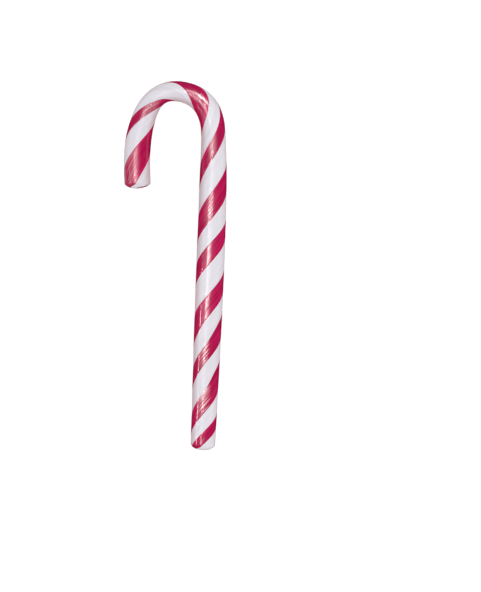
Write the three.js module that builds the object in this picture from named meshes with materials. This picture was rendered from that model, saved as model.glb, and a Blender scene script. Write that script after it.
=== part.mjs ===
// A candy cane: one stick of pulled sugar, rolled round and bent over into a crook while warm.
// It lies on its side, on the narrow flat that the cooling table leaves along its underside.
//
// Frame: millimetres, +Z up. The straight shank runs along +Y from its foot to the crook, and
// the crook turns over towards -X. The origin is on the floor, under the middle of the outline.

import * as THREE from 'three';

// Distances are measured along the middle line, from the end of the foot to the end of the tip.
const LENGTH = 189;

// How sharply the middle line turns left, in degrees for each millimetre.
const TURN_STATIONS = [
  [0, 0],
  [60, 0],
  [116, 0.07],
  [133, 4.9],
  [141, 3.25],
  [150.5, 6.0],
  [161, 1.7],
  [LENGTH, 0],
];

// Width in the plane of the crook. The bend draws the stick thin where it turns most sharply.
const WIDTH_STATIONS = [
  [0, 9.3],
  [20, 9.7],
  [40, 10.25],
  [78, 10.6],
  [108, 10.05],
  [120, 9.25],
  [132, 9.0],
  [142, 7.8],
  [151, 7.4],
  [160, 8.7],
  [170, 9.7],
  [LENGTH, 9.9],
];

// Height of the stick as it lies, before its underside is flattened.
const HEIGHT_STATIONS = [
  [0, 9.4],
  [40, 10.25],
  [78, 10.6],
  [110, 10.2],
  [150, 9.5],
  [170, 9.9],
  [LENGTH, 9.9],
];

// The flat underside: how much of the round is missing.
const FLAT_DEPTH = 0.2;

// Each end is a low dome: its outline is |across / R|^ACROSS_POWER + (along / L)^ALONG_POWER = 1.
const DOME_LENGTH = 1.85;
const DOME_ACROSS_POWER = 2.4;
const DOME_ALONG_POWER = 1.3;

// Fineness of the faceted solid.
const SECTION_SIDES = 28;
const DOME_RINGS = 6;
const CROOK_START = 114;
const SHANK_STEP = 3.8;
const CROOK_STEP = 1.5;
const PATH_STEP = 0.05;
const MIN_FLAT_ANGLE = THREE.MathUtils.degToRad(4);

const SUGAR = new THREE.MeshStandardMaterial({
  name: 'striped_sugar',
  color: new THREE.Color().setRGB(0.91, 0.88, 0.92, THREE.SRGBColorSpace),
  roughness: 0.2,
  metalness: 0,
});

// A smooth curve through [distance, value] stations, or straight lines between them.
function stationCurve(stations, Interpolant) {
  const distances = stations.map(([distance]) => distance);
  const values = stations.map(([, value]) => value);
  const interpolant = new Interpolant(distances, values, 1);
  return (distance) => interpolant.evaluate(distance)[0];
}

const turnAt = stationCurve(TURN_STATIONS, THREE.LinearInterpolant);
const widthAt = stationCurve(WIDTH_STATIONS, THREE.CubicInterpolant);
const heightAt = stationCurve(HEIGHT_STATIONS, THREE.CubicInterpolant);

// Walks along the middle line, turning as it goes, and keeps each point with its heading.
function walkMiddleLine() {
  const steps = Math.round(LENGTH / PATH_STEP);
  const step = LENGTH / steps;
  const line = [];
  let x = 0;
  let y = 0;
  let heading = Math.PI / 2;
  for (let i = 0; i <= steps; i += 1) {
    line.push({ x, y, heading });
    const halfTurn = THREE.MathUtils.degToRad(turnAt((i + 0.5) * step) * step) / 2;
    heading += halfTurn;
    x += Math.cos(heading) * step;
    y += Math.sin(heading) * step;
    heading += halfTurn;
  }
  return line;
}

function lineAt(line, distance) {
  const index = Math.round((distance / LENGTH) * (line.length - 1));
  return line[index];
}

// How much of the full section is left at a distance: all of it, except in the two domes.
function domeScale(distance) {
  const inside = Math.min(distance, LENGTH - distance);
  if (inside >= DOME_LENGTH) {
    return 1;
  }
  const rise = 1 - inside / DOME_LENGTH;
  return (1 - rise ** DOME_ALONG_POWER) ** (1 / DOME_ACROSS_POWER);
}

// Where the rings of points stand: close together in the domes and the crook.
function ringDistances() {
  const dome = [];
  for (let i = 1; i <= DOME_RINGS; i += 1) {
    dome.push(DOME_LENGTH * (1 - Math.cos((i / DOME_RINGS) * (Math.PI / 2))));
  }
  const between = (from, to, wanted) => {
    const count = Math.round((to - from) / wanted);
    return Array.from({ length: count }, (_, i) => from + ((i + 1) / count) * (to - from));
  };
  const shank = between(DOME_LENGTH, CROOK_START, SHANK_STEP);
  const crook = between(CROOK_START, LENGTH - DOME_LENGTH, CROOK_STEP);
  const tipDome = dome.slice(0, -1).reverse().map((distance) => LENGTH - distance);
  return [...dome, ...shank, ...crook, ...tipDome];
}

// One ring: an oval whose bottom is cut off level with the floor. Its points run from one
// edge of the flat, over the top, to the other edge.
function addRing(positions, line, distance) {
  const { x, y, heading } = lineAt(line, distance);
  const scale = domeScale(distance);
  const halfWidth = (widthAt(distance) / 2) * scale;
  const halfHeight = (heightAt(distance) / 2) * scale;
  const middle = heightAt(distance) / 2 - FLAT_DEPTH;
  const flatAngle = Math.max(MIN_FLAT_ANGLE, Math.acos(Math.min(1, middle / halfHeight)));
  const sweep = 2 * (Math.PI - flatAngle);
  for (let i = 0; i < SECTION_SIDES; i += 1) {
    const angle = flatAngle + (i / (SECTION_SIDES - 1)) * sweep;
    const across = Math.sin(angle) * halfWidth;
    const up = middle - Math.cos(angle) * halfHeight;
    const rightX = Math.sin(heading);
    const rightY = -Math.cos(heading);
    positions.push(x + rightX * across, y + rightY * across, Math.max(0, up));
  }
}

function caneGeometry() {
  const line = walkMiddleLine();
  const distances = ringDistances();
  const positions = [];
  distances.forEach((distance) => addRing(positions, line, distance));

  const indices = [];
  for (let ring = 0; ring < distances.length - 1; ring += 1) {
    for (let side = 0; side < SECTION_SIDES; side += 1) {
      const a = ring * SECTION_SIDES + side;
      const b = ring * SECTION_SIDES + ((side + 1) % SECTION_SIDES);
      const c = a + SECTION_SIDES;
      const d = b + SECTION_SIDES;
      indices.push(a, d, b, a, c, d);
    }
  }

  // The top of each dome is one point, with a fan of triangles down to the nearest ring.
  const addPole = (distance, ring, outward) => {
    const { x, y } = lineAt(line, distance);
    const pole = positions.length / 3;
    positions.push(x, y, heightAt(distance) / 2 - FLAT_DEPTH);
    for (let side = 0; side < SECTION_SIDES; side += 1) {
      const a = ring * SECTION_SIDES + side;
      const b = ring * SECTION_SIDES + ((side + 1) % SECTION_SIDES);
      indices.push(...(outward ? [pole, a, b] : [pole, b, a]));
    }
  };
  addPole(0, 0, true);
  addPole(LENGTH, distances.length - 1, false);

  const geometry = new THREE.BufferGeometry();
  geometry.setAttribute('position', new THREE.Float32BufferAttribute(positions, 3));
  geometry.setIndex(indices);
  geometry.computeBoundingBox();
  const outline = geometry.boundingBox.getCenter(new THREE.Vector3());
  geometry.translate(-outline.x, -outline.y, 0);
  geometry.computeVertexNormals();
  return geometry;
}

const cane = new THREE.Mesh(caneGeometry(), SUGAR);
cane.name = 'candy_cane';

const object = new THREE.Group();
object.add(cane);

export default object;
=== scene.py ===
"""A candy cane of pulled sugar, modelled the way a sweet maker makes one.

A straight round stick is built first, with two red stripes laid along it and its ends drawn
in. It is wound, made taller than wide where the crook comes, bent over, and left to settle
on the table. Everything is in metres, +Z up, in the frame of the construction model.
"""
import math

import bpy
import numpy as np
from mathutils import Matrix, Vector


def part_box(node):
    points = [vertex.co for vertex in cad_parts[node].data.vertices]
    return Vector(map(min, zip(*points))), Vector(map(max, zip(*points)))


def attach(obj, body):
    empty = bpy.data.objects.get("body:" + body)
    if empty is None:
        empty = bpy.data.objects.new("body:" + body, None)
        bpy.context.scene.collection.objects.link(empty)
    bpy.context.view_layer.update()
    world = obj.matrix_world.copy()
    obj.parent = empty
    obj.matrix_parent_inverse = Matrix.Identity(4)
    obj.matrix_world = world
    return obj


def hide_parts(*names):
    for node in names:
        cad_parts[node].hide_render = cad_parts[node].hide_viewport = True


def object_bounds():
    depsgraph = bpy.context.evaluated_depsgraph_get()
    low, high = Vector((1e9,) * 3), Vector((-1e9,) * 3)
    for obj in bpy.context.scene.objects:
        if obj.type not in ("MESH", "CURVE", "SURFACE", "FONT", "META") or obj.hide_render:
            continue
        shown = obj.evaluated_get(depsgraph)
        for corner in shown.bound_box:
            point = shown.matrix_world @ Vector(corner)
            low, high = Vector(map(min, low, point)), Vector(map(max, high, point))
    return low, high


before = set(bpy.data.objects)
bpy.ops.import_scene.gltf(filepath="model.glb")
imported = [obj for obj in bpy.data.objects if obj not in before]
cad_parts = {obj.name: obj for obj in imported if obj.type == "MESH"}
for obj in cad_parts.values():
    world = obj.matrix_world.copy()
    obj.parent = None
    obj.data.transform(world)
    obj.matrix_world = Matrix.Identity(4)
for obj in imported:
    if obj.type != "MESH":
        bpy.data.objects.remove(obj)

CAD_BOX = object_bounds()
CANE_NODE = "candy_cane"
MM = 0.001

# ---------------------------------------------------------------------------------------
# Sizes. Distances run along the middle line, from the end of the foot to the end of the tip.
# ---------------------------------------------------------------------------------------

LENGTH = 189 * MM

# How sharply the middle line turns left: (distance in mm, degrees for each mm).
TURN_STATIONS = [
    (0, 0),
    (60, 0),
    (116, 0.07),
    (133, 4.9),
    (141, 3.25),
    (150.5, 6.0),
    (161, 1.7),
    (189, 0),
]

# Width in the plane of the crook: (distance in mm, width in mm).
WIDTH_STATIONS = [
    (0, 9.3),
    (20, 9.7),
    (40, 10.25),
    (78, 10.6),
    (108, 10.05),
    (120, 9.25),
    (132, 9.0),
    (142, 7.8),
    (151, 7.4),
    (160, 8.7),
    (170, 9.7),
    (189, 9.9),
]

# Height of the stick as it lies, before its underside settles flat.
HEIGHT_STATIONS = [
    (0, 9.4),
    (40, 10.25),
    (78, 10.6),
    (110, 10.2),
    (150, 9.5),
    (170, 9.9),
    (189, 9.9),
]

# How much of the round is lost to the flat underside, and how many steps the middle line is
# walked in.
FLAT_DEPTH = 0.2 * MM
LINE_STEPS = 756

# The straight stick before it is shaped. It lies along +X, with its left side at +Y. Each round
# of splits puts this many cuts across every edge that runs along the stick.
STICK_RADIUS = 5.0 * MM
COLUMNS = 192
LONG_SPLITS = (20, 20)
SHORTEST_LONG_EDGE = 0.1 * MM

# Each end is a low dome: |across / R| ** ACROSS_POWER + (along / L) ** ALONG_POWER = 1. Its
# swirl grows towards the pole, and DOME_UNROLLED is its share of the unrolled skin's height.
DOME_LENGTH = 1.85 * MM
DOME_ACROSS_POWER = 2.4
DOME_ALONG_POWER = 1.3
DOME_RINGS = 12
DOME_SWIRL = math.radians(120)
DOME_SWIRL_POWER = 3
DOME_UNROLLED = 0.03

# The stripes on the straight stick. Each row gives a distance in mm, then where the narrow
# stripe and the wide one begin and end, in degrees round the stick from its top to its left.
STRIPE_EDGES = [
    (0, 30, 90, 150, 220),
    (24, -30, 50, 150, 245),
    (32, -15, 50, 150, 270),
    (40, -10, 60, 135, 260),
    (49, -5, 85, 155, 250),
    (72, -5, 75, 150, 245),
    (96, -15, 60, 155, 250),
    (120, 10, 75, 165, 265),
    (128, 15, 85, 165, 270),
    (135, 20, 90, 150, 275),
    (145, 20, 95, 155, 245),
    (157, 25, 85, 165, 255),
    (168, 5, 70, 165, 270),
    (189, 10, 60, 140, 270),
]

# How many columns of faces the narrow stripe, the white after it, the wide stripe and the
# white after that take up.
STRIPE_COLUMNS = (40, 44, 56, 52)

# How fast the stripes wind, in degrees for each mm, at the foot and at the tip.
WIND_AT_FOOT = 10.61
WIND_AT_TIP = 7.70
WIND_STEPS = 8

# Once wound, the skin creeps up the sides towards the top, by at most this share of a radius.
SKIN_CREEP = 0.09

# The relief, which fades out at the two ends. Stripes stand proud by STRIPE_RISE, with edges
# this many columns soft.
END_FADE = 1.5 * DOME_LENGTH
STRIPE_RISE = 0.035 * MM
EDGE_COLUMNS = 3
RIB_HEIGHT = 0.02 * MM
RIB_WIDTH = 0.9 * MM
RIB_LENGTH = 16 * MM
LUMP_HEIGHT = 0.12 * MM
LUMP_WIDTH = 7 * MM
LUMP_LENGTH = 9 * MM

# Points this close are in the same place, a point this near the axis has no side, and one this
# far into a dome is its pole.
SAME_PLACE = 0.001 * MM
AXIS_RADIUS = 0.01 * MM
POLE_SHARE = 0.999999

# How many steps a point's weight is rounded to, and the numbers of the two materials.
WEIGHT_STEPS = 100
WHITE, RED = 0, 1


def stations(table, distance, column=1):
    """A smooth curve through a table's stations, read at a distance in metres."""
    at = np.array([row[0] for row in table], dtype=float) * MM
    value = np.array([row[column] for row in table], dtype=float)
    slope = np.gradient(value, at)
    x = np.clip(np.asarray(distance, dtype=float), at[0], at[-1])
    i = np.clip(np.searchsorted(at, x, side="right") - 1, 0, len(at) - 2)
    gap = at[i + 1] - at[i]
    t = (x - at[i]) / gap
    rise = value[i + 1] - value[i]
    start_bow = slope[i] * gap - rise
    end_bow = rise - slope[i + 1] * gap
    return value[i] + rise * t + t * (1 - t) * (start_bow * (1 - t) + end_bow * t)


def straight_stations(table, distance):
    """Straight lines between stations, read at a distance in metres."""
    at = np.array([row[0] for row in table], dtype=float) * MM
    value = np.array([row[1] for row in table], dtype=float)
    return np.interp(distance, at, value)


# ---------------------------------------------------------------------------------------
# Handling
# ---------------------------------------------------------------------------------------

def take(piece):
    """Makes a piece the only one selected, and the active one."""
    bpy.ops.object.select_all(action="DESELECT")
    piece.select_set(True)
    bpy.context.view_layer.objects.active = piece


def coordinates(mesh):
    flat = np.empty(len(mesh.vertices) * 3)
    mesh.vertices.foreach_get("co", flat)
    return flat.reshape(-1, 3)


def move_points(mesh, points):
    mesh.vertices.foreach_set("co", points.ravel())
    mesh.update()


def edge_ends(mesh):
    ends = np.empty(len(mesh.edges) * 2, dtype=int)
    mesh.edges.foreach_get("vertices", ends)
    return ends.reshape(-1, 2)


def corner_vertices(mesh):
    corners = np.empty(len(mesh.loops), dtype=int)
    mesh.loops.foreach_get("vertex_index", corners)
    return corners


def face_starts(mesh):
    starts = np.empty(len(mesh.polygons), dtype=int)
    mesh.polygons.foreach_get("loop_start", starts)
    return starts


def select_nothing(mesh):
    for parts in (mesh.vertices, mesh.edges, mesh.polygons):
        parts.foreach_set("select", np.zeros(len(parts), dtype=bool))


def select_edges(mesh, chosen):
    select_nothing(mesh)
    mesh.edges.foreach_set("select", chosen)
    touched = np.zeros(len(mesh.vertices), dtype=bool)
    touched[edge_ends(mesh)[chosen].ravel()] = True
    mesh.vertices.foreach_set("select", touched)


def edit(piece, mode):
    take(piece)
    bpy.ops.object.mode_set(mode="EDIT")
    bpy.ops.mesh.select_mode(type=mode)


def stop_editing():
    bpy.ops.object.mode_set(mode="OBJECT")


def select_by(piece, mode):
    """Sets what edit mode selects by, so that it keeps a selection that is made in code."""
    edit(piece, mode)
    stop_editing()


def apply_modifier(piece, modifier):
    take(piece)
    bpy.ops.object.modifier_apply(modifier=modifier.name)


# ---------------------------------------------------------------------------------------
# The straight stick
# ---------------------------------------------------------------------------------------

def rolled_stick():
    """A plain round stick along +X, open at both ends, with a fine, even grid of faces."""
    bpy.ops.object.select_all(action="DESELECT")
    bpy.ops.mesh.primitive_cylinder_add(
        vertices=COLUMNS,
        radius=STICK_RADIUS,
        depth=LENGTH - 2 * DOME_LENGTH,
        end_fill_type="NOTHING",
        location=(LENGTH / 2, 0, 0),
        rotation=(0, math.pi / 2, 0),
    )
    stick = bpy.context.active_object
    stick.name = "sugar_cane"
    bpy.ops.object.transform_apply(location=True, rotation=True, scale=True)
    for cuts in LONG_SPLITS:
        split_lengthwise(stick, cuts)
    return stick


def split_lengthwise(stick, cuts):
    """Cuts every long edge into equal parts, which rings the stick with new edges."""
    mesh = stick.data
    select_by(stick, "EDGE")
    ends = coordinates(mesh)[edge_ends(mesh)]
    select_edges(mesh, np.abs(ends[:, 0, 0] - ends[:, 1, 0]) > SHORTEST_LONG_EDGE)
    edit(stick, "EDGE")
    bpy.ops.mesh.subdivide(number_cuts=cuts)
    stop_editing()


def round_angle(points):
    """Degrees round the stick, from its top towards its left side."""
    return np.degrees(np.arctan2(points[:, 1], points[:, 2])) % 360


def stripe_edge_angles(distance):
    """Where the stripes begin and end at each distance, and the first edge again, a turn on."""
    edges = [stations(STRIPE_EDGES, distance, column) for column in (1, 2, 3, 4)]
    return np.stack(edges + [edges[0] + 360], axis=-1)


def lay_stripes(stick):
    """Slides the columns round the stick until four of them lie on the stripes' edges, and
    gives the faces between them their sugar."""
    mesh = stick.data
    points = coordinates(mesh)
    marks = np.concatenate([[0], np.cumsum(STRIPE_COLUMNS)])
    column = np.round(round_angle(points) / 360 * COLUMNS) % COLUMNS
    edges = stripe_edge_angles(points[:, 0])
    part = np.searchsorted(marks, column, side="right") - 1
    row = np.arange(len(points))
    start, end = edges[row, part], edges[row, part + 1]
    share = (column - marks[part]) / (marks[part + 1] - marks[part])
    angle = np.radians(start + share * (end - start))
    points[:, 1] = STICK_RADIUS * np.sin(angle)
    points[:, 2] = STICK_RADIUS * np.cos(angle)
    move_points(mesh, points)

    # A face's lowest column says which part it lies in, except where it closes the round.
    face_columns = column[corner_vertices(mesh)].reshape(-1, 4)
    first = np.where(np.ptp(face_columns, axis=1) > 1, COLUMNS - 1, face_columns.min(axis=1))
    face_part = np.searchsorted(marks, first, side="right") - 1
    mesh.polygons.foreach_set("material_index", np.where(face_part % 2 == 0, RED, WHITE))
    mesh.attributes.new("column", "FLOAT", "POINT").data.foreach_set("value", column)


def dome_end(stick, tip):
    """Draws one open end in to a point, ring by ring, with the swirl that the cut gives it."""
    way = 1 if tip else -1
    rim = LENGTH - DOME_LENGTH if tip else DOME_LENGTH
    mesh = stick.data
    ends = coordinates(mesh)[edge_ends(mesh)]
    select_edges(mesh, (np.abs(ends[:, :, 0] - rim) < SAME_PLACE).all(axis=1))
    edit(stick, "EDGE")
    scale_was = 1.0
    along_was = 0.0
    for ring in range(1, DOME_RINGS + 1):
        along = math.sin(ring / DOME_RINGS * math.pi / 2)
        middle = (rim + way * along * DOME_LENGTH, 0, 0)
        step = (way * (along - along_was) * DOME_LENGTH, 0, 0)
        bpy.ops.mesh.extrude_edges_move(TRANSFORM_OT_translate={"value": step})
        if ring == DOME_RINGS:
            bpy.ops.mesh.merge(type="CENTER")
            break
        scale = (1 - along ** DOME_ALONG_POWER) ** (1 / DOME_ACROSS_POWER)
        shrink = scale / scale_was
        swirl = along ** DOME_SWIRL_POWER - along_was ** DOME_SWIRL_POWER
        bpy.ops.transform.resize(value=(1, shrink, shrink), center_override=middle)
        bpy.ops.transform.rotate(
            value=-way * DOME_SWIRL * swirl,
            orient_axis="X",
            center_override=middle,
        )
        scale_was = scale
        along_was = along
    stop_editing()


def add_weights(stick, name, weights):
    """A vertex group with its own weight for each point, in small steps."""
    group = stick.vertex_groups.new(name=name)
    steps = np.round(np.clip(weights, 0, 1) * WEIGHT_STEPS).astype(int)
    for step in np.unique(steps[steps > 0]):
        group.add(np.flatnonzero(steps == step).tolist(), step / WEIGHT_STEPS, "REPLACE")
    return group.name


def end_fade(points):
    """One along the stick, down to nothing at the two ends."""
    to_end = np.minimum(points[:, 0], LENGTH - points[:, 0])
    return np.clip(to_end / END_FADE, 0, 1)


def raise_stripes(stick):
    """Lifts the red stripes a little proud of the white, with soft edges."""
    mesh = stick.data
    points = coordinates(mesh)
    angle = round_angle(points)
    edges = stripe_edge_angles(points[:, 0])
    soft = EDGE_COLUMNS * 360 / COLUMNS
    weight = np.zeros(len(points))
    for start, end in ((0, 1), (2, 3)):
        middle = (edges[:, start] + edges[:, end]) / 2
        half = (edges[:, end] - edges[:, start]) / 2
        off = np.abs((angle - middle + 180) % 360 - 180)
        weight = np.maximum(weight, np.clip((half - off) / soft, 0, 1))
    smooth = weight * weight * (3 - 2 * weight) * end_fade(points)
    lift = stick.modifiers.new("raised_stripes", "DISPLACE")
    lift.vertex_group = add_weights(stick, "red_stripes", smooth)
    lift.mid_level = 0
    lift.strength = STRIPE_RISE
    apply_modifier(stick, lift)


def roughen(stick, name, width, length, height):
    """Pushes the skin in and out by a cloud pattern drawn out along the stick."""
    clouds = bpy.data.textures.new(name, type="CLOUDS")
    clouds.noise_scale = 1.0
    clouds.noise_depth = 2
    ruler = bpy.data.objects.new(name, None)
    bpy.context.collection.objects.link(ruler)
    ruler.scale = (length, width, width)
    bpy.context.view_layer.update()
    bumps = stick.modifiers.new(name, "DISPLACE")
    bumps.texture = clouds
    bumps.texture_coords = "OBJECT"
    bumps.texture_coords_object = ruler
    bumps.vertex_group = add_weights(stick, name, end_fade(coordinates(stick.data)))
    bumps.strength = height
    apply_modifier(stick, bumps)
    bpy.data.objects.remove(ruler)


def keep_straight_places(stick):
    """Stores where each point lies on the straight stick, for patterns along the pull."""
    mesh = stick.data
    places = mesh.attributes.new("straight_place", "FLOAT_VECTOR", "POINT")
    places.data.foreach_set("vector", coordinates(mesh).ravel())


def unroll(stick):
    """Lays the skin out flat as the map that the looks are baked to, round the stick across
    and from end to end upwards. Its cut follows the first edge of the narrow stripe."""
    mesh = stick.data
    points = coordinates(mesh)
    into_foot = np.clip((DOME_LENGTH - points[:, 0]) / DOME_LENGTH, 0, 1)
    into_tip = np.clip((points[:, 0] - LENGTH + DOME_LENGTH) / DOME_LENGTH, 0, 1)
    body = np.clip((points[:, 0] - DOME_LENGTH) / (LENGTH - 2 * DOME_LENGTH), 0, 1)
    end_rise = DOME_UNROLLED * (np.arcsin(into_tip) - np.arcsin(into_foot)) / (math.pi / 2)
    up = DOME_UNROLLED + (1 - 2 * DOME_UNROLLED) * body + end_rise

    column = np.empty(len(points))
    mesh.attributes["column"].data.foreach_get("value", column)
    column[np.maximum(into_foot, into_tip) > POLE_SHARE] = np.nan
    corners = corner_vertices(mesh)
    starts = face_starts(mesh)
    sizes = np.diff(np.append(starts, len(corners)))
    across = column[corners]
    highest = np.repeat(np.fmax.reduceat(across, starts), sizes)
    lowest = np.repeat(np.fmin.reduceat(across, starts), sizes)
    closing = highest - lowest > 1
    across = np.where(closing & (across == 0), COLUMNS, across)
    middle = np.where(closing, COLUMNS - 0.5, (highest + lowest) / 2)
    across = np.where(np.isnan(across), middle, across)
    layout = np.stack([across / COLUMNS, up[corners]], axis=-1)
    unrolled = mesh.uv_layers.new(name="OFBake")
    unrolled.uv.foreach_set("vector", layout.ravel())
    mesh.attributes.remove(mesh.attributes["column"])


def wind(stick):
    """Winds the stick with nested twists, so that it turns faster towards the foot."""
    gain = (WIND_AT_FOOT - WIND_AT_TIP) / WIND_STEPS
    for step in range(WIND_STEPS):
        share = 1 - step / WIND_STEPS
        rate = WIND_AT_TIP + gain / 2 if step == 0 else gain
        twist = stick.modifiers.new("wind", "SIMPLE_DEFORM")
        twist.deform_method = "TWIST"
        twist.deform_axis = "X"
        twist.limits = (0, share)
        twist.angle = math.radians(rate * share * LENGTH / MM)
        apply_modifier(stick, twist)


def creep(stick):
    """Slides the wound skin up the sides of the stick, towards its top."""
    mesh = stick.data
    points = coordinates(mesh)
    radius = np.hypot(points[:, 1], points[:, 2])
    angle = np.arctan2(points[:, 1], points[:, 2])
    angle -= SKIN_CREEP * np.sin(angle)
    points[:, 1] = radius * np.sin(angle)
    points[:, 2] = radius * np.cos(angle)
    move_points(mesh, points)


def keep_wound_places(stick):
    """Stores each point's distance along the wound stick, in metres, and how far round it
    lies to the left and to the top, each from -1 to 1."""
    mesh = stick.data
    points = coordinates(mesh)
    radius = np.maximum(np.hypot(points[:, 1], points[:, 2]), AXIS_RADIUS)
    points[:, 1] /= radius
    points[:, 2] /= radius
    places = mesh.attributes.new("wound_place", "FLOAT_VECTOR", "POINT")
    places.data.foreach_set("vector", points.ravel())


def deepen_crook(stick):
    """Makes the stick taller than wide where the bend will draw it thin."""
    mesh = stick.data
    points = coordinates(mesh)
    height = stations(HEIGHT_STATIONS, points[:, 0])
    width = stations(WIDTH_STATIONS, points[:, 0])
    points[:, 2] *= height / width
    move_points(mesh, points)


def middle_line():
    """The middle line as a curve, whose radius is the stick's share of the full width."""
    curve = bpy.data.curves.new("middle_line", type="CURVE")
    curve.dimensions = "3D"
    curve.twist_mode = "Z_UP"
    curve.use_radius = True
    spline = curve.splines.new("POLY")
    spline.points.add(LINE_STEPS)
    step = LENGTH / LINE_STEPS
    x, y, heading = 0.0, 0.0, math.pi / 2
    for i, point in enumerate(spline.points):
        distance = i * step
        height = float(stations(HEIGHT_STATIONS, distance)) * MM
        point.co = (x, y, height / 2 - FLAT_DEPTH, 1)
        point.radius = float(stations(WIDTH_STATIONS, distance)) * MM / (2 * STICK_RADIUS)
        turn = straight_stations(TURN_STATIONS, distance + step / 2)
        half_turn = math.radians(float(turn) * step / MM) / 2
        heading += half_turn
        x += math.cos(heading) * step
        y += math.sin(heading) * step
        heading += half_turn
    line = bpy.data.objects.new("middle_line", curve)
    bpy.context.collection.objects.link(line)
    return line


def bend_over(stick):
    """Bends the stick along the middle line."""
    line = middle_line()
    bend = stick.modifiers.new("bend", "CURVE")
    bend.object = line
    bend.deform_axis = "POS_X"
    apply_modifier(stick, bend)
    bpy.data.objects.remove(line)


def settle(stick):
    """Presses what would sink below the table flat against it."""
    mesh = stick.data
    select_by(stick, "VERT")
    select_nothing(mesh)
    mesh.vertices.foreach_set("select", coordinates(mesh)[:, 2] < 0)
    edit(stick, "VERT")
    bpy.ops.transform.resize(value=(1, 1, 0), center_override=(0, 0, 0))
    stop_editing()


def lay_in_frame(stick):
    """Moves the cane so that its outline has the construction model's middle."""
    low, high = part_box(CANE_NODE)
    points = coordinates(stick.data)
    shift = (np.array(low) + np.array(high) - points.min(axis=0) - points.max(axis=0)) / 2
    take(stick)
    bpy.ops.transform.translate(value=(shift[0], shift[1], 0))
    bpy.ops.object.transform_apply(location=True, rotation=False, scale=False)


def make_cane():
    stick = rolled_stick()
    silk_nodes = silk_group()
    patch_nodes = patch_group()
    stick.data.materials.append(white_sugar(silk_nodes, patch_nodes))
    stick.data.materials.append(red_sugar(silk_nodes, patch_nodes))
    lay_stripes(stick)
    dome_end(stick, tip=False)
    dome_end(stick, tip=True)
    keep_straight_places(stick)
    unroll(stick)
    raise_stripes(stick)
    roughen(stick, "lumps", LUMP_WIDTH, LUMP_LENGTH, LUMP_HEIGHT)
    roughen(stick, "ribs", RIB_WIDTH, RIB_LENGTH, RIB_HEIGHT)
    wind(stick)
    creep(stick)
    keep_wound_places(stick)
    deepen_crook(stick)
    bend_over(stick)
    settle(stick)
    lay_in_frame(stick)
    take(stick)
    bpy.ops.object.shade_smooth()
    return stick


# ---------------------------------------------------------------------------------------
# Sugar
# ---------------------------------------------------------------------------------------

def srgb(red, green, blue):
    """A colour given in the usual 0 to 255 screen values, as Blender's linear ones."""
    def linear(value):
        share = value / 255
        return share / 12.92 if share <= 0.04045 else ((share + 0.055) / 1.055) ** 2.4
    return (linear(red), linear(green), linear(blue), 1.0)


def new_material(name):
    material = bpy.data.materials.new(name)
    material.use_nodes = True
    return material, material.node_tree.nodes, material.node_tree.links


def math_node(nodes, links, operation, first, second=None, third=None):
    """A Math node fed with sockets or plain numbers; returns its output."""
    node = nodes.new("ShaderNodeMath")
    node.operation = operation
    for socket, value in zip(node.inputs, (first, second, third)):
        if value is None:
            continue
        if isinstance(value, (int, float)):
            socket.default_value = value
        else:
            links.new(value, socket)
    return node.outputs[0]


def mix_colour(nodes, links, share, first, second):
    """A colour between two others; each may be a socket or a colour."""
    node = nodes.new("ShaderNodeMix")
    node.data_type = "RGBA"
    for socket, value in ((node.inputs[0], share), (node.inputs[6], first), (node.inputs[7], second)):
        if isinstance(value, bpy.types.NodeSocket):
            links.new(value, socket)
        else:
            socket.default_value = value
    return node.outputs[2]


def stored_place(nodes, name):
    """Reads one of the two places that the piece stores for each of its points."""
    node = nodes.new("ShaderNodeAttribute")
    node.attribute_name = name
    return node.outputs["Vector"]


def silk_group():
    """Streaks left by pulling: noise drawn out along the straight stick.

    Across and Along are the size of a streak in metres; Ragged is how broken its sides are;
    Shift picks another pattern. Soft is the plain noise, round one half; Sharp rises from
    nothing to one as the noise goes from Start to Full.
    """
    tree = bpy.data.node_groups.new("pulled_silk", "ShaderNodeTree")
    face = tree.interface
    face.new_socket("Place", in_out="INPUT", socket_type="NodeSocketVector")
    for name in ("Across", "Along", "Ragged", "Shift", "Start", "Full"):
        face.new_socket(name, in_out="INPUT", socket_type="NodeSocketFloat")
    for name in ("Soft", "Sharp"):
        face.new_socket(name, in_out="OUTPUT", socket_type="NodeSocketFloat")
    nodes, links = tree.nodes, tree.links
    enter = nodes.new("NodeGroupInput")
    leave = nodes.new("NodeGroupOutput")
    split = nodes.new("ShaderNodeSeparateXYZ")
    links.new(enter.outputs["Place"], split.inputs[0])
    join = nodes.new("ShaderNodeCombineXYZ")
    drawn = math_node(nodes, links, "DIVIDE", split.outputs[0], enter.outputs["Along"])
    moved = math_node(nodes, links, "ADD", drawn, enter.outputs["Shift"])
    links.new(moved, join.inputs[0])
    for axis in (1, 2):
        narrow = math_node(nodes, links, "DIVIDE", split.outputs[axis], enter.outputs["Across"])
        links.new(narrow, join.inputs[axis])
    noise = nodes.new("ShaderNodeTexNoise")
    noise.inputs["Scale"].default_value = 1.0
    noise.inputs["Detail"].default_value = 3.0
    links.new(join.outputs[0], noise.inputs["Vector"])
    links.new(enter.outputs["Ragged"], noise.inputs["Roughness"])
    contrast = nodes.new("ShaderNodeMapRange")
    contrast.interpolation_type = "SMOOTHSTEP"
    links.new(enter.outputs["Start"], contrast.inputs["From Min"])
    links.new(enter.outputs["Full"], contrast.inputs["From Max"])
    links.new(noise.outputs[0], contrast.inputs["Value"])
    links.new(noise.outputs[0], leave.inputs["Soft"])
    links.new(contrast.outputs[0], leave.inputs["Sharp"])
    return tree


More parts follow.
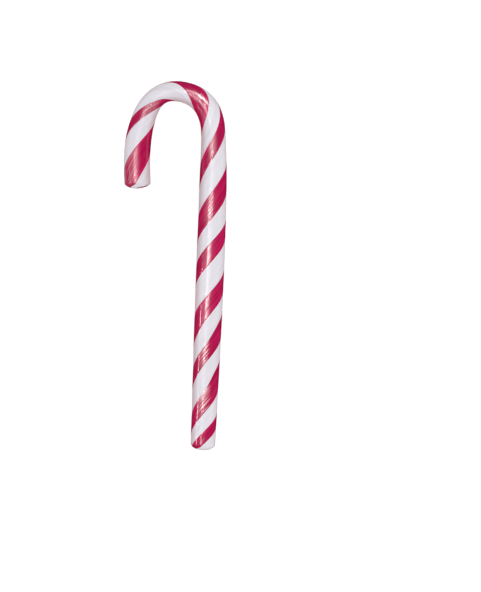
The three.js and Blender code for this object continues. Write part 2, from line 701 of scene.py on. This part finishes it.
def silk(nodes, links, group, across, along, shift, start=0.42, full=0.62, ragged=0.5):
    """One use of the silk group, reading the piece's stored place on the straight stick.
    Sizes are in mm."""
    place = stored_place(nodes, "straight_place")
    node = nodes.new("ShaderNodeGroup")
    node.node_tree = group
    links.new(place, node.inputs["Place"])
    settings = {
        "Across": across * MM, "Along": along * MM, "Shift": shift,
        "Start": start, "Full": full, "Ragged": ragged,
    }
    for name, value in settings.items():
        node.inputs[name].default_value = value
    return node


# How far out from its middle a patch is still whole, as a share of its reach.
PATCH_CORE = 0.3


def patch_group():
    """One soft-edged patch of skin, one in its middle and nothing outside its reach."""
    tree = bpy.data.node_groups.new("skin_patch", "ShaderNodeTree")
    face = tree.interface
    for name in ("Place", "Middle", "Reach"):
        face.new_socket(name, in_out="INPUT", socket_type="NodeSocketVector")
    face.new_socket("Mask", in_out="OUTPUT", socket_type="NodeSocketFloat")
    nodes, links = tree.nodes, tree.links
    enter = nodes.new("NodeGroupInput")
    leave = nodes.new("NodeGroupOutput")
    away = nodes.new("ShaderNodeVectorMath")
    away.operation = "SUBTRACT"
    links.new(enter.outputs["Place"], away.inputs[0])
    links.new(enter.outputs["Middle"], away.inputs[1])
    share = nodes.new("ShaderNodeVectorMath")
    share.operation = "DIVIDE"
    links.new(away.outputs[0], share.inputs[0])
    links.new(enter.outputs["Reach"], share.inputs[1])
    length = nodes.new("ShaderNodeVectorMath")
    length.operation = "LENGTH"
    links.new(share.outputs[0], length.inputs[0])
    fade = nodes.new("ShaderNodeMapRange")
    fade.interpolation_type = "SMOOTHSTEP"
    fade.inputs["From Min"].default_value = 1.0
    fade.inputs["From Max"].default_value = PATCH_CORE
    links.new(length.outputs["Value"], fade.inputs["Value"])
    links.new(fade.outputs[0], leave.inputs["Mask"])
    return tree


def patches_mask(nodes, links, group, patches):
    """All of a list of patches: (distance in mm, left, reach in mm, reach round, strength)."""
    place = stored_place(nodes, "wound_place")
    whole = None
    for distance, left, reach, around, strength in patches:
        node = nodes.new("ShaderNodeGroup")
        node.node_tree = group
        links.new(place, node.inputs["Place"])
        top = math.sqrt(1 - left * left)
        node.inputs["Middle"].default_value = (distance * MM, left, top)
        node.inputs["Reach"].default_value = (reach * MM, around, around)
        mask = math_node(nodes, links, "MULTIPLY", node.outputs["Mask"], strength)
        whole = mask if whole is None else math_node(nodes, links, "MAXIMUM", whole, mask)
    return whole


def relief(nodes, links, height, depth, within=None, onto=None):
    """A Bump node's normal, from a pattern round one half, fading out beyond a mask."""
    node = nodes.new("ShaderNodeBump")
    node.inputs["Distance"].default_value = depth
    node.inputs["Strength"].default_value = 1.0
    if within is not None:
        height = math_node(nodes, links, "SUBTRACT", height, 0.5)
        height = math_node(nodes, links, "MULTIPLY", height, within)
    links.new(height, node.inputs["Height"])
    if onto is not None:
        links.new(onto, node.inputs["Normal"])
    return node.outputs[0]


def ramp(nodes, links, value, start, end, amount):
    """Rises smoothly from nothing to an amount as a value goes from start to end."""
    node = nodes.new("ShaderNodeMapRange")
    node.interpolation_type = "SMOOTHSTEP"
    node.inputs["From Min"].default_value = start
    node.inputs["From Max"].default_value = end
    node.inputs["To Max"].default_value = amount
    links.new(value, node.inputs["Value"])
    return node.outputs[0]


# Where the white shows the lines of its pulling: (distance in mm, left, reach in mm, reach
# round, strength).
LINED_PATCHES = [(150, -0.2, 24, 1.2, 1.0), (178, 0.3, 16, 0.9, 0.5)]
LINES_EVERYWHERE = 0.08
LINES_ADDED_IN_PATCHES = 0.35

# Painted shade on the white towards its two sides, with a painted pink cast of light from the red
# stripes: how far left that starts, where it is full, and how much of the shaded side colour it then
# has.
INNER_PAINTED_SHADE = (0.5, 0.95, 0.6)
OUTER_PAINTED_SHADE = (-0.55, -0.95, 0.35)

DULL_WHITE = srgb(224, 219, 227)
BRIGHT_WHITE = srgb(240, 238, 244)
LINE_WHITE = srgb(210, 202, 212)
# Painted shade: the shaded, pink-cast white of the inner and of the outer side.
INNER_SHADED_WHITE = srgb(202, 168, 172)
OUTER_SHADED_WHITE = srgb(208, 188, 198)

# How deep the ridges between the white's threads look.
WHITE_RIDGE_DEPTH = 0.03 * MM


def white_sugar(group, patch):
    """White sugar full of fine air, with the lines of its pulling and a thin clear skin, and painted
    shade, tinted pink by painted light from the red stripes, towards its two sides.
    """
    material, nodes, links = new_material("white_pulled_sugar")
    shader = nodes["Principled BSDF"]
    bands = silk(nodes, links, group, across=1.6, along=26, shift=3.7)
    threads = silk(nodes, links, group, across=0.8, along=30, shift=9.1)
    tone_and_painted_light = mix_colour(nodes, links, bands.outputs["Soft"], DULL_WHITE, BRIGHT_WHITE)
    lined = patches_mask(nodes, links, patch, LINED_PATCHES)
    lined = math_node(nodes, links, "MULTIPLY_ADD", lined, LINES_ADDED_IN_PATCHES, LINES_EVERYWHERE)
    lined = math_node(nodes, links, "MULTIPLY", lined, threads.outputs["Sharp"])
    tone_and_painted_light = mix_colour(nodes, links, lined, tone_and_painted_light, LINE_WHITE)
    # Painted shade: darkens the white and tints it pink towards its two sides, where shade and the
    # red stripes' light fall.
    split = nodes.new("ShaderNodeSeparateXYZ")
    links.new(stored_place(nodes, "wound_place"), split.inputs[0])
    inner_shade_mask = ramp(nodes, links, split.outputs[1], *INNER_PAINTED_SHADE)
    tone_and_painted_light = mix_colour(nodes, links, inner_shade_mask, tone_and_painted_light, INNER_SHADED_WHITE)
    outer_shade_mask = ramp(nodes, links, split.outputs[1], *OUTER_PAINTED_SHADE)
    tone_and_painted_light = mix_colour(nodes, links, outer_shade_mask, tone_and_painted_light, OUTER_SHADED_WHITE)
    links.new(tone_and_painted_light, shader.inputs["Base Color"])
    shader.inputs["Roughness"].default_value = 0.35
    shader.inputs["Specular IOR Level"].default_value = 0.2
    shader.inputs["Subsurface Weight"].default_value = 0.25
    shader.inputs["Subsurface Radius"].default_value = (1.0, 0.75, 0.8)
    shader.inputs["Subsurface Scale"].default_value = 1.2 * MM
    shader.inputs["Coat Weight"].default_value = 0.15
    shader.inputs["Coat Roughness"].default_value = 0.04
    ridges = relief(nodes, links, threads.outputs["Soft"], WHITE_RIDGE_DEPTH)
    links.new(ridges, shader.inputs["Normal"])
    return material


# Where pulled-in air makes the red streaky and pale or evenly milky, set where the red's highlights
# fall so that it is partly painted highlight, where no threads haze it over, where handling has
# dulled it and where its skin has crinkled in the bend, as patches again; a dull one's strength is
# its roughness.
AIRY_AND_HIGHLIGHT_PATCHES = [
    (19, 0.05, 12, 0.6, 1.0),
    (37, 0.15, 10, 0.45, 0.7),
    (63, 0.15, 10, 0.4, 0.4),
    (92, 0.12, 9, 0.3, 0.6),
    (106, 0.12, 8, 0.35, 0.4),
    (119, 0.1, 7, 0.35, 0.5),
    (135, -0.15, 9, 0.5, 0.2),
    (153, 0.0, 10, 0.8, 1.0),
    (179, -0.5, 13, 0.75, 0.4),
]
MILKY_AND_HIGHLIGHT_PATCHES = [(116, 0.1, 8, 0.45, 0.25), (157, 0.2, 9, 0.8, 0.2), (184, -0.95, 8, 0.4, 0.3)]
CLEAR_PATCHES = [(129, 0.45, 8, 0.5, 0.8), (177, 0.25, 15, 0.45, 0.85)]
DULL_PATCHES = [(126, 0.5, 10, 0.6, 0.4), (180, -0.4, 30, 1.1, 0.3)]
CRINKLED_PATCHES = [
    (105, 0.1, 8, 0.5, 0.5),
    (119, 0.1, 8, 0.5, 0.7),
    (136, -0.1, 11, 0.8, 1.0),
    (156, 0.0, 10, 0.8, 0.6),
]

DEEP_RED = srgb(178, 0, 73)
BRIGHT_RED = srgb(206, 12, 90)
# The pale pink of the airy streaks and milky patches, partly painted highlight.
AIRY_AND_HIGHLIGHT_PINK = srgb(246, 204, 206)

# How much of the pink the airy strands take on, which is partly painted highlight, how rough the skin
# is where nothing has dulled it, and how much hazy coat lies everywhere and is added on the threads.
AIRY_AND_HIGHLIGHT_STRANDS = 0.85
LEAST_ROUGHNESS = 0.03
HAZE_EVERYWHERE = 0.17
HAZE_ADDED_ON_THREADS = 0.8

# How deep the folds of the crinkled skin and the ridges between its threads look.
CRINKLE_DEPTH = 0.3 * MM
RED_RIDGE_DEPTH = 0.12 * MM


def red_sugar(group, patch):
    """Clear red sugar with a hard shine, under silky threads that only haze over, with pale pink
    streaks and milky patches, partly painted highlight, where its highlights fall.
    """
    material, nodes, links = new_material("red_pulled_sugar")
    shader = nodes["Principled BSDF"]
    threads = silk(
        nodes, links, group, across=0.34, along=24, shift=1.3, start=0.46, full=0.56, ragged=0.3
    )
    strands = silk(
        nodes, links, group, across=0.27, along=22, shift=7.7, start=0.53, full=0.58, ragged=0.3
    )
    bands = silk(nodes, links, group, across=1.1, along=20, shift=5.9, start=0.4, full=0.68)
    crinkle = silk(nodes, links, group, across=0.9, along=1.0, shift=21.4)
    tone_and_painted_light = mix_colour(nodes, links, bands.outputs["Sharp"], DEEP_RED, BRIGHT_RED)
    # Partly painted highlight: pale pink streaks and milky patches laid where the red's highlights
    # fall.
    airy_and_highlight = patches_mask(nodes, links, patch, AIRY_AND_HIGHLIGHT_PATCHES)
    pale_and_highlight = math_node(nodes, links, "MULTIPLY", airy_and_highlight, strands.outputs["Sharp"])
    pale_and_highlight = math_node(nodes, links, "MULTIPLY", pale_and_highlight, AIRY_AND_HIGHLIGHT_STRANDS)
    milky_and_highlight = patches_mask(nodes, links, patch, MILKY_AND_HIGHLIGHT_PATCHES)
    pale_and_highlight = math_node(nodes, links, "MAXIMUM", pale_and_highlight, milky_and_highlight)
    tone_and_painted_light = mix_colour(nodes, links, pale_and_highlight, tone_and_painted_light, AIRY_AND_HIGHLIGHT_PINK)
    links.new(tone_and_painted_light, shader.inputs["Base Color"])
    dull = patches_mask(nodes, links, patch, DULL_PATCHES)
    dull = math_node(nodes, links, "ADD", dull, LEAST_ROUGHNESS)
    links.new(dull, shader.inputs["Roughness"])
    shader.inputs["Specular IOR Level"].default_value = 0.45
    shader.inputs["Subsurface Weight"].default_value = 0.1
    shader.inputs["Subsurface Radius"].default_value = (1.0, 0.2, 0.3)
    shader.inputs["Subsurface Scale"].default_value = 0.5 * MM
    haze = threads.outputs["Sharp"]
    haze = math_node(nodes, links, "MULTIPLY_ADD", haze, HAZE_ADDED_ON_THREADS, HAZE_EVERYWHERE)
    clear = patches_mask(nodes, links, patch, CLEAR_PATCHES)
    haze = math_node(nodes, links, "MULTIPLY", haze, math_node(nodes, links, "SUBTRACT", 1.0, clear))
    links.new(haze, shader.inputs["Coat Weight"])
    shader.inputs["Coat Roughness"].default_value = 0.27
    shader.inputs["Coat IOR"].default_value = 1.7
    crinkled = patches_mask(nodes, links, patch, CRINKLED_PATCHES)
    folds = relief(nodes, links, crinkle.outputs["Soft"], CRINKLE_DEPTH, within=crinkled)
    ridges = relief(nodes, links, threads.outputs["Soft"], RED_RIDGE_DEPTH, within=airy_and_highlight, onto=folds)
    links.new(ridges, shader.inputs["Normal"])
    return material


# ---------------------------------------------------------------------------------------
# Table, light and camera
# ---------------------------------------------------------------------------------------

# The table lies a hair below the cane, grey but lit from within, which makes it evenly white.
TABLE_SIZE = 4
TABLE_DROP = 0.02 * MM
TABLE_GREY = (0.35, 0.35, 0.35, 1)
TABLE_GLOW = 0.8
PURE_WHITE = (1, 1, 1, 1)
ROOM_LIGHT = 0.7

# The lamps: name, the point on the table it is aimed at, tilt and turn in degrees, distance, the
# sides of its face, radiance, and whether it is only mirrored (True) or only lights (False).
LAMPS = [
    ("fill", (0, 0), 10, 0, 0.7, (0.5, 0.5), 1.9, False),
    ("window", (0, -0.01), 22, 180, 0.6, (0.74, 0.2), 1.25, True),
    ("main", (0, -0.035), 19, 180, 0.6, (0.06, 0.23), 14, True),
    ("middle_spot", (0, 0.005), 14, 180, 0.6, (0.3, 0.09), 7, True),
    ("bend_spot", (-0.03, 0.084), 3, 180, 0.6, (0.2, 0.036), 12, True),
    ("far_window", (0, 0.06), 42, 54, 0.6, (0.22, 0.3), 1.5, True),
    ("far_spot", (0, 0.06), 31, 60, 0.6, (0.1, 0.075), 120, True),
    ("side_strip", (0, -0.2), 65.5, 180, 0.7, (0.035, 0.4), 24, True),
]

CAMERA_DISTANCE = 1.0
VIEW_HEIGHT = 225.2 * MM
VIEW_MIDDLE = (26.52 * MM, -10.78 * MM)
VIEW_ROLL = math.radians(2.35)
SENSOR = 36.0


def white_table():
    bpy.ops.object.select_all(action="DESELECT")
    bpy.ops.mesh.primitive_plane_add(size=TABLE_SIZE, location=(0, 0, -TABLE_DROP))
    table = bpy.context.active_object
    table.name = "white_table"
    material, nodes, _ = new_material("white_table")
    shader = nodes["Principled BSDF"]
    shader.inputs["Base Color"].default_value = TABLE_GREY
    shader.inputs["Roughness"].default_value = 0.9
    shader.inputs["Specular IOR Level"].default_value = 0.0
    shader.inputs["Emission Color"].default_value = PURE_WHITE
    shader.inputs["Emission Strength"].default_value = TABLE_GLOW
    table.data.materials.append(material)
    table.visible_glossy = False


def softbox(name, aim, tilt, turn, distance, size, radiance, shine):
    """An area light aimed at a point on the table. Tilt is from straight overhead, in
    degrees, and turn is round from +X. Light and shine are kept apart, as crossed
    polarisers do: a lamp with shine is only mirrored, and one without it only lights."""
    light = bpy.data.lights.new(name, type="AREA")
    light.shape = "RECTANGLE"
    light.size, light.size_y = size
    light.energy = radiance * math.pi * size[0] * size[1]
    lamp = bpy.data.objects.new(name, light)
    bpy.context.collection.objects.link(lamp)
    tilt, turn = math.radians(tilt), math.radians(turn)
    lamp.location = (
        aim[0] + distance * math.sin(tilt) * math.cos(turn),
        aim[1] + distance * math.sin(tilt) * math.sin(turn),
        distance * math.cos(tilt),
    )
    lamp.rotation_euler = (0, tilt, turn)
    lamp.visible_glossy = shine
    lamp.visible_diffuse = not shine


def light_the_table():
    world = bpy.data.worlds.new("pale_room")
    bpy.context.scene.world = world
    world.use_nodes = True
    background = world.node_tree.nodes["Background"]
    background.inputs["Color"].default_value = PURE_WHITE
    background.inputs["Strength"].default_value = ROOM_LIGHT
    world.cycles_visibility.glossy = False
    for lamp in LAMPS:
        softbox(*lamp)


def set_camera():
    camera = bpy.data.cameras.new("camera")
    camera.sensor_width = SENSOR
    camera.lens = SENSOR * CAMERA_DISTANCE / VIEW_HEIGHT
    eye = bpy.data.objects.new("camera", camera)
    bpy.context.collection.objects.link(eye)
    height = CAD_BOX[1][2] / 2 + CAMERA_DISTANCE
    eye.location = (VIEW_MIDDLE[0], VIEW_MIDDLE[1], height)
    eye.rotation_euler = (0, 0, VIEW_ROLL)
    bpy.context.scene.camera = eye


# ---------------------------------------------------------------------------------------
# Putting it together
# ---------------------------------------------------------------------------------------

cane = make_cane()
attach(cane, "root")
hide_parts(CANE_NODE)

white_table()
light_the_table()
set_camera()
bpy.context.scene.view_settings.view_transform = "Standard"
